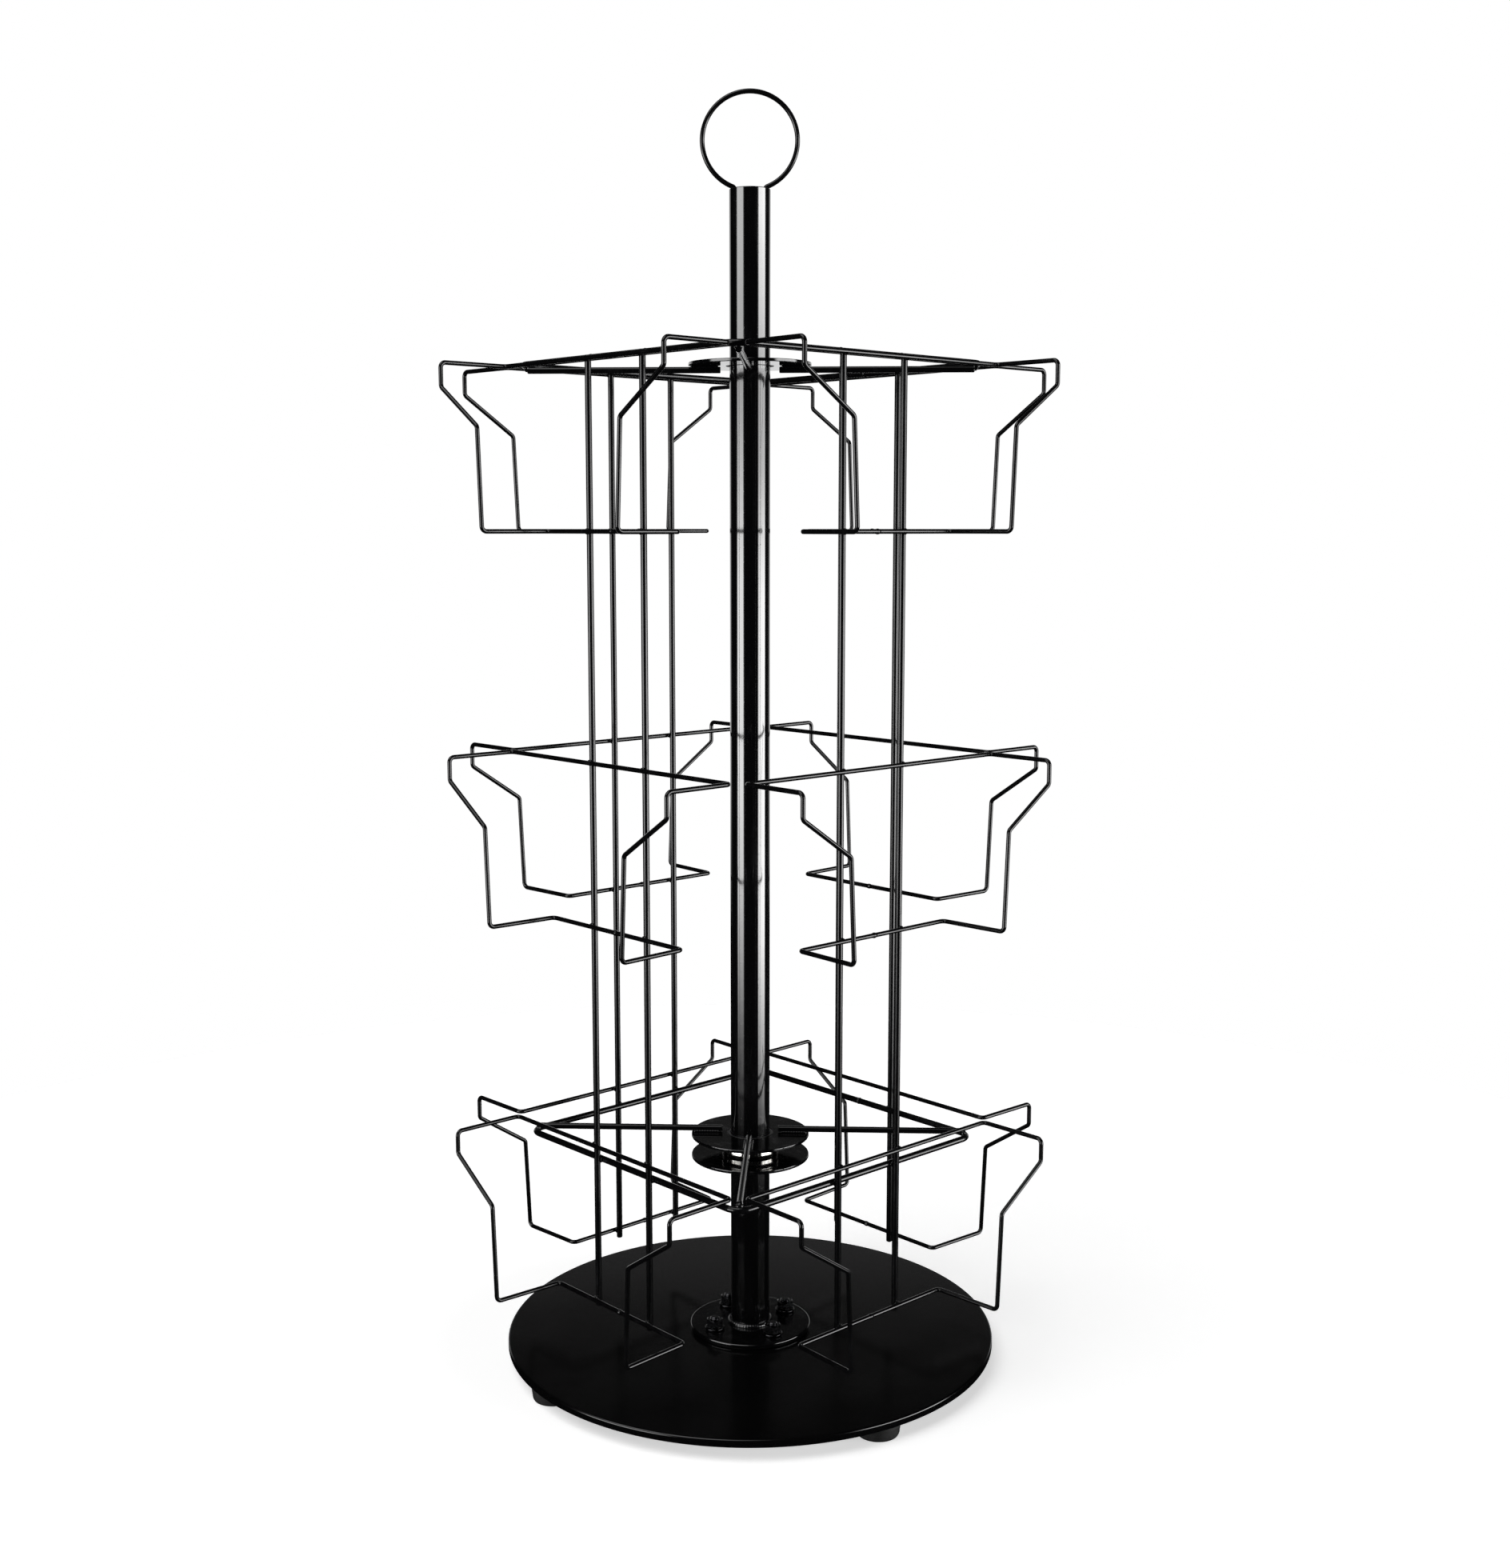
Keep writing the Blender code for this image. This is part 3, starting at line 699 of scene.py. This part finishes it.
def flange_and_fasteners():
    """The flange at the pole's foot, and the washer and nut on each of its studs."""
    bore = STUD_RADIUS + GAP
    ring = ring_shape(hole_radius, flange_high.x, flange_low.z, flange_high.z, 0.7 * MM,
                      DISC_STEPS)
    holes = []
    for i in NUMBERS:
        place = middle(f"flange_nut_{i}")
        holes.append(cylinder(place.x, place.y, flange_low.z - CUT_PAST,
                              flange_high.z + CUT_PAST, bore))
        low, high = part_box(f"flange_washer_{i}")
        washer = ring_shape(bore, (high.x - low.x) / 2, low.z, high.z, 0.35 * MM, SMALL_STEPS)
        add(f"washer_{i}", shifted(washer, place.x, place.y), "black_fastener", "stand",
            f"flange_washer_{i}")
        low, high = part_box(f"flange_nut_{i}")
        nut = hex_nut(bore - THREAD_DEPTH * 0.5, low.z, high.z)
        nut = moved(nut, Matrix.Rotation(fastener_turn, 4, "Z"))
        add(f"nut_{i}", shifted(nut, place.x, place.y), "black_fastener", "stand",
            f"flange_nut_{i}")
    add("flange_plate", carved(ring, holes), "gloss_black", "stand", "base_flange")


def pole_bead(height):
    """A weld bead round the pole."""
    around = circle(pole_radius + POLE_BEAD_OUT, height, POLE_BEAD_STEPS)
    return bead(around, POLE_BEAD_RADIUS, closed=True)


def pole_parts():
    """The pole, its foot weld, the welded support disc and the plug that holds the ring."""
    plug_low, plug_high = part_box("pole_plug")
    inner = plug_high.x + GAP
    tube_shape = turned([(pole_radius, pole_high.z, 0.5 * MM), (pole_radius, pole_low.z, 0.2 * MM),
                         (inner, pole_low.z, 0.2 * MM), (inner, pole_high.z, 0.5 * MM)],
                        POLE_STEPS, closed=True)
    add("pole_tube", tube_shape, "gloss_black", "stand", "pole")
    add("pole_foot_weld", pole_bead(flange_high.z + POLE_BEAD_RISE), "gloss_black", "stand")
    disc_low, disc_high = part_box("support_disc")
    add("support_plate", ring_shape(hole_radius, disc_high.x, disc_low.z, disc_high.z, DISC_EDGE,
                                    DISC_STEPS), "gloss_black", "stand", "support_disc")
    add("support_weld", pole_bead(disc_low.z - POLE_BEAD_RISE), "gloss_black", "stand")

    plug = turned([(0, plug_high.z), (plug_high.x * 0.6, plug_high.z, 0.3 * MM),
                   (plug_high.x * 0.66, plug_high.z - 0.5 * MM, 0.3 * MM),
                   (plug_high.x, plug_high.z - 0.5 * MM, 0.4 * MM),
                   (plug_high.x, plug_low.z, 0.4 * MM), (0, plug_low.z)], SMALL_STEPS)
    leg = Vector((math.cos(RING_TURN), math.sin(RING_TURN))) * RING_LEG_OFFSET
    notches = [cylinder(x, y, plug_low.z - CUT_PAST, plug_high.z + CUT_PAST,
                        RING_WIRE_RADIUS + GAP) for x, y in (leg, -leg)]
    add("pole_stopper", carved(plug, notches), "black_nylon", "stand", "pole_plug")


def finger_ring():
    """A circle of wire whose ends bend down into the pole."""
    low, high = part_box("top_ring")
    centre = high.z - RING_RADIUS - RING_WIRE_RADIUS
    bend_x = RING_LEG_OFFSET + RING_LEG_BEND
    reach = RING_RADIUS + RING_LEG_BEND
    start = math.asin(bend_x / reach)
    bend_z = centre - reach * math.cos(start)
    half = [(RING_LEG_OFFSET, low.z)]
    for i in range(RING_BEND_STEPS):
        angle = (math.pi / 2 - start) * i / RING_BEND_STEPS
        half.append((bend_x - RING_LEG_BEND * math.cos(angle),
                     bend_z + RING_LEG_BEND * math.sin(angle)))
    for i in range(RING_STEPS):
        angle = start + (math.pi - start) * i / RING_STEPS
        half.append((RING_RADIUS * math.sin(angle), centre - RING_RADIUS * math.cos(angle)))
    outline = half + [(0, centre + RING_RADIUS)] + [(-x, z) for x, z in reversed(half)]
    shape = rod([Vector((x, 0, z)) for x, z in outline], RING_WIRE_RADIUS)
    shape = moved(shape, Matrix.Rotation(RING_TURN, 4, "Z"))
    add("finger_ring", shape, "black_wire", "stand", "top_ring")


# ---------------------------------------------------------------- bearing and hubs

def race(name, node, body, groove_up):
    """A bearing race with a groove for the balls on its upper or lower face."""
    low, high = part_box(node)
    ball_height = middle("caged_balls").z
    cover = BALL_RADIUS - RACE_COVER
    face = ball_height - cover if groove_up else ball_height + cover
    back = low.z if groove_up else high.z
    toward_back = -1 if groove_up else 1
    half_angle = math.asin(GROOVE_REACH)
    depth = GROOVE_RADIUS * (1 - math.cos(half_angle))
    groove = []
    for i in range(GROOVE_STEPS + 1):
        angle = half_angle * (1 - 2 * i / GROOVE_STEPS)
        sag = GROOVE_RADIUS * math.cos(angle) - (GROOVE_RADIUS - depth)
        groove.append((BALL_CIRCLE + GROOVE_RADIUS * math.sin(angle), face + toward_back * sag))
    outline = [(high.x - RACE_CROWN, back, 0.3 * MM), (high.x, (back + face) / 2, 3 * MM),
               (high.x - RACE_CROWN, face, 0.3 * MM), *groove,
               (hole_radius, face, 0.2 * MM), (hole_radius, back, 0.3 * MM)]
    add(name, turned(outline, DISC_STEPS, closed=True), "bright_steel", body, node)


def caged_balls():
    """The balls and the cage that spaces them."""
    low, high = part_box("caged_balls")
    height = (low.z + high.z) / 2
    cage = ring_shape(CAGE_BORE, high.x, height - CAGE_THICKNESS / 2,
                      height + CAGE_THICKNESS / 2, 0.3 * MM, DISC_STEPS)
    holes, balls = [], []
    for i in range(BALL_COUNT):
        angle = math.tau * i / BALL_COUNT
        x, y = BALL_CIRCLE * math.cos(angle), BALL_CIRCLE * math.sin(angle)
        holes.append(cylinder(x, y, low.z, high.z, BALL_RADIUS + CAGE_PLAY, CAGE_HOLE_STEPS))
        balls.append(ball(Vector((x, y, height))))
    add("ball_cage", carved(cage, holes), "bright_steel", "stand", "caged_balls")
    add("bearing_balls", merged(balls), "bright_steel", "stand", "caged_balls")


def ball(centre):
    rings = []
    for i in range(BALL_ROWS + 1):
        polar = math.pi * i / BALL_ROWS
        radius = BALL_RADIUS * math.sin(polar) if 0 < i < BALL_ROWS else 0
        ring = circle(radius, BALL_RADIUS * math.cos(polar), BALL_STEPS)
        rings.append([centre + point for point in ring])
    return loft(rings)


def hub(level):
    """A hub disc with its nylon bush, whose flange is on the side away from the arms."""
    disc_low, disc_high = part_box(f"{level}_hub_disc")
    bush_low, bush_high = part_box(f"{level}_hub_bush")
    plate = ring_shape(BUSH_RADIUS + GAP, disc_high.x, disc_low.z, disc_high.z, DISC_EDGE,
                       DISC_STEPS)
    add(f"{level}_hub_plate", plate, "gloss_black", "rack", f"{level}_hub_disc")
    if bush_high.z > disc_high.z + GAP:
        lip, end, seat = bush_high.z, bush_low.z, disc_high.z + GAP
    else:
        lip, end, seat = bush_low.z, bush_high.z, disc_low.z - GAP
    outline = [(bush_high.x, lip, 0.35 * MM), (bush_high.x, seat, 0.1 * MM),
               (BUSH_RADIUS, seat, 0.1 * MM), (BUSH_RADIUS, end, 0.3 * MM),
               (hole_radius, end, 0.3 * MM), (hole_radius, lip, 0.3 * MM)]
    add(f"{level}_hub_liner", turned(outline, DISC_STEPS, closed=True), "black_nylon", "rack",
        f"{level}_hub_bush")


# ---------------------------------------------------------------- wire rack

def square(level):
    """One rod bent round four corners, its ends butt-welded on the back, with its spot welds."""
    low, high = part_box(f"{level}_square")
    radius = (high.z - low.z) / 2
    side = high.y - radius
    corners = [(side, side, 0), (-side, side, 0), (-side, -side, 0), (side, -side, 0)]
    height = middle(f"{level}_square").z
    shape = tube(rounded(corners, SQUARE_BEND, closed=True), radius, closed=True)
    add(f"{level}_square_rod", shifted(shape, z=height), "black_wire", "rack",
        f"{level}_square")
    bulge = radius + SQUARE_WELD_BULGE
    welds = [blob(Vector((0, side, height)), (SQUARE_WELD_LENGTH, bulge, bulge), 50)]
    for angle in SIDES.values():
        for label in "ab":
            upright = middle(f"upright_front_{label}")
            spot = Vector((upright.x, -(side + radius + GAP / 2), height))
            welds.append(turned_about(blob(spot, UPRIGHT_WELD, len(welds)), angle))
    add(f"{level}_square_welds", merged(welds), "black_wire", "rack")


def arm_set(level):
    """Four rods from the hub to the square's corners, with their welds."""
    low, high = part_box(f"{level}_arm_1")
    radius = (high.z - low.z) / 2
    height = (high.z + low.z) / 2
    start = low.x * math.sqrt(2) + radius
    end = high.x * math.sqrt(2) - radius
    disc_low, disc_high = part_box(f"{level}_hub_disc")
    weld_height = (height + middle(f"{level}_square").z) / 2
    on_top = height > disc_high.z
    bead_height = disc_high.z + ARM_BEAD_RISE if on_top else disc_low.z - ARM_BEAD_RISE
    shape = rod([Vector((start, 0, height)), Vector((end, 0, height))], radius)
    welds = []
    for i in range(4):
        angle = 45 + 90 * i
        add(f"{level}_arm_rod_{i + 1}", turned_about(shape, angle), "black_wire", "rack",
            f"{level}_arm_{i + 1}")
        corner = blob(Vector((end + ARM_WELD_PAST, 0, weld_height)), ARM_WELD, i + 20)
        welds.append(turned_about(corner, angle))
        for side in (-1, 1):
            y = side * (radius + ARM_BEAD_OUT)
            run = [Vector((start + ARM_BEAD_SHORTER, y, bead_height)),
                   Vector((disc_high.x - ARM_BEAD_SHORTER, y, bead_height))]
            welds.append(turned_about(bead(run, ARM_BEAD_RADIUS), angle))
    add(f"{level}_arm_welds", merged(welds), "black_wire", "rack")


def uprights():
    """Two rods to a side."""
    for side, angle in SIDES.items():
        for label in "ab":
            node = f"upright_{side}_{label}"
            low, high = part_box(f"upright_front_{label}")
            x, y = middle(f"upright_front_{label}").xy
            shape = rod([Vector((x, y, low.z)), Vector((x, y, high.z))], (high.x - low.x) / 2)
            add(f"{node}_rod", turned_about(shape, angle), "black_wire", "rack", node)


def pocket_shape(tier):
    """The closed wire of a tier's pocket on the front face."""
    low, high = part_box(f"pocket_{tier}_front")
    wire = POCKET_WIRE_RADIUS
    tip, back, mouth = high.x - wire, high.y - wire, low.y + wire
    rail, heel = high.z - wire, low.z + wire
    half = [
        (tip - RAIL_SHORTER, back, rail), (tip, mouth, rail), (tip, mouth, rail - TIP_DROP),
        (WAIST_HALF_WIDTH, mouth, rail - WAIST_DROP), (TOE_HALF_WIDTH, mouth, heel),
        (HEEL_HALF_WIDTH, back, heel),
    ]
    weld = [(along, back, heel) for along, _ in BUTT_WELD]
    corners = half + weld + [(-x, y, z) for x, y, z in reversed(half)]
    bends = [POCKET_BEND] * len(half) + [0] * len(weld) + [POCKET_BEND] * len(half)
    path = rounded(corners, bends, closed=True)
    radii = [wire] * len(path)
    for along, swelling in BUTT_WELD:
        distances = [(point - Vector((along, back, heel))).length for point in path]
        radii[distances.index(min(distances))] += swelling
    return tube(path, radii, closed=True)


def pockets():
    """Every pocket, and the spot welds that hold it to its side's two uprights."""
    upright_low, upright_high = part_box("upright_front_a")
    upright_radius = (upright_high.x - upright_low.x) / 2
    contact = middle("upright_front_a").y - upright_radius - GAP / 2
    for t, tier in enumerate(TIERS):
        shape = pocket_shape(tier)
        low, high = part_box(f"pocket_{tier}_front")
        for s, (side, angle) in enumerate(SIDES.items()):
            add(f"pocket_wire_{tier}_{side}", turned_about(shape, angle), "black_wire", "rack",
                f"pocket_{tier}_{side}")
            welds = []
            for label in "ab":
                x = middle(f"upright_front_{label}").x
                for height in (high.z - POCKET_WIRE_RADIUS, low.z + POCKET_WIRE_RADIUS):
                    spot = Vector((x, contact, height))
                    seed = 60 + 20 * t + 4 * s + len(welds)
                    welds.append(blob(spot, POCKET_WELD, seed))
            add(f"pocket_welds_{tier}_{side}", turned_about(merged(welds), angle), "black_wire",
                "rack")


base_disc()
for number in NUMBERS:
    foot(number)
    foot_screw(number)
flange_and_fasteners()
pole_parts()
finger_ring()
race("lower_race_ring", "lower_race", "stand", groove_up=True)
race("upper_race_ring", "upper_race", "rack", groove_up=False)
caged_balls()
for level_name in ("lower", "upper"):
    hub(level_name)
    square(level_name)
    arm_set(level_name)
uprights()
pockets()


# ---------------------------------------------------------------- floor, light and camera

FLOOR_RADIUS = 0.9
FLOOR_THICKNESS = 5 * MM
FLOOR_GLOW = 0.55
CAMERA_AZIMUTH = 47.4               # 0 looks along +Y, 90 along -X
CAMERA_DISTANCE = 1.186             # from the pole's axis, level
CAMERA_HEIGHT = 0.54025
CAMERA_SIDESTEP = 0.00315
CAMERA_TILT = 7.8                   # downwards
CAMERA_LENS = 42.907
SENSOR = 36.0

# Soft panels: azimuth from the camera's, half width and feather, and (elevation, strength) pairs.
# The first two stand to the camera's left and right and give the pole its bands.  The third
# faces the camera.  Its faint strip from 20 to 22 degrees is what the base plate mirrors.
PANELS = (
    (-57, 15, 9, ((-18.5, 0), (-16.6, 0.6), (-15, 2.6), (-10.7, 10), (-8, 13), (-1.5, 13),
                  (4, 6), (8, 8), (12, 9), (18, 0))),
    (72, 18, 9, ((-20, 0), (-17.8, 1.4), (-16.6, 4.6), (-15, 8), (-12, 16), (-2, 16), (2, 7.5),
                 (4.5, 7), (9, 15.5), (12, 15.5), (18, 0))),
    (180, 34, 14, ((-12, 0), (-7, 1.3), (7, 1.3), (12, 0.5), (16, 0.06), (18.4, 0.05),
                   (18.9, 0.01), (19.7, 0.01), (20.6, 0.54), (21.5, 0.27), (22.3, 0.05),
                   (25, 0.01), (28, 0))),
)
OVERHEAD = 3.6
OVERHEAD_AZIMUTH = -60              # from the camera's: to its left and a little towards it
OVERHEAD_LEAN = 0.55                # that way, for 1 upwards
OVERHEAD_FADE = (0.84, 0.96)        # from none to full, as cosines of the angle to its middle
ROOM_LIGHT = 0.003                  # from everywhere


def heading(azimuth):
    """The level direction from the pole to a camera or light at that azimuth."""
    angle = math.radians(azimuth)
    return Vector((math.sin(angle), -math.cos(angle), 0))


def floor():
    shape = turned([(0, 0), (FLOOR_RADIUS, 0), (FLOOR_RADIUS, -FLOOR_THICKNESS),
                    (0, -FLOOR_THICKNESS)], BASE_STEPS)
    obj = new_object("studio_floor", shape)
    obj.data.materials.append(floor_paint())
    obj.visible_glossy = False


def panel(nodes, level_way, rise, azimuth, half_width, feather, strengths):
    """A soft panel's light: full over its half width, and (elevation, strength) up its height."""
    facing = nodes.add("VectorMath", (level_way, heading(azimuth)),
                       operation="DOT_PRODUCT").outputs["Value"]
    across = nodes.spread(facing, math.cos(math.radians(half_width + feather)),
                          math.cos(math.radians(half_width)), 0, 1, smooth=True)
    highest = max(strength for _, strength in strengths)
    ramp = nodes.add("ValToRGB", (rise,))
    stops = ramp.color_ramp.elements
    for i, (elevation, strength) in enumerate(strengths):
        place = (math.sin(math.radians(elevation)) + 1) / 2
        stop = stops[i] if i < 2 else stops.new(place)      # a new ramp has two stops
        stop.position = place
        stop.color = (*[strength / highest] * 3, 1)
    light = nodes.math("MULTIPLY", across, ramp.outputs["Color"])
    return nodes.math("MULTIPLY", light, highest)


def studio_light():
    """White where the camera looks past the rack; soft panels for all that lights the rack."""
    world = bpy.data.worlds.new("studio")
    bpy.context.scene.world = world
    world.use_nodes = True
    nodes = Nodes(world.node_tree)
    way = nodes.add("TexCoord").outputs["Generated"]
    height = nodes.add("SeparateXYZ", (way,)).outputs["Z"]
    rise = nodes.spread(height, -1, 1, 0, 1)
    level = nodes.add("VectorMath", (way, (1.0, 1.0, 0.0)), operation="MULTIPLY").outputs[0]
    level_way = nodes.add("VectorMath", (level,), operation="NORMALIZE").outputs[0]
    lean = heading(CAMERA_AZIMUTH + OVERHEAD_AZIMUTH) * OVERHEAD_LEAN
    above = (lean + Vector((0, 0, 1))).normalized()
    overhead = nodes.add("VectorMath", (way, above), operation="DOT_PRODUCT").outputs["Value"]
    overhead = nodes.spread(overhead, *OVERHEAD_FADE, 0, OVERHEAD, smooth=True)
    total = nodes.math("ADD", ROOM_LIGHT, overhead)
    for azimuth, half_width, feather, strengths in PANELS:
        light = panel(nodes, level_way, rise, CAMERA_AZIMUTH + azimuth, half_width, feather,
                      strengths)
        total = nodes.math("ADD", total, light)
    camera_ray = nodes.add("LightPath").outputs["Is Camera Ray"]
    lit = nodes.add("Background", {"Strength": total})
    white = nodes.add("Background", {"Color": (1, 1, 1, 1), "Strength": 1.0})
    mixed = nodes.add("MixShader", (camera_ray, lit.outputs[0], white.outputs[0]))
    nodes.add("OutputWorld", {"Surface": mixed.outputs[0]})


def camera():
    """The photo's camera."""
    data = bpy.data.cameras.new("camera")
    data.lens = CAMERA_LENS
    data.sensor_width = SENSOR
    data.clip_start = 0.01
    obj = bpy.data.objects.new("camera", data)
    bpy.context.scene.collection.objects.link(obj)
    obj.location = (heading(CAMERA_AZIMUTH) * CAMERA_DISTANCE
                    + heading(CAMERA_AZIMUTH + 90) * CAMERA_SIDESTEP
                    + Vector((0, 0, CAMERA_HEIGHT)))
    obj.rotation_euler = (math.radians(90 - CAMERA_TILT), 0, math.radians(CAMERA_AZIMUTH))
    bpy.context.scene.camera = obj


floor()
studio_light()
camera()
bpy.context.scene.view_settings.view_transform = "Standard"
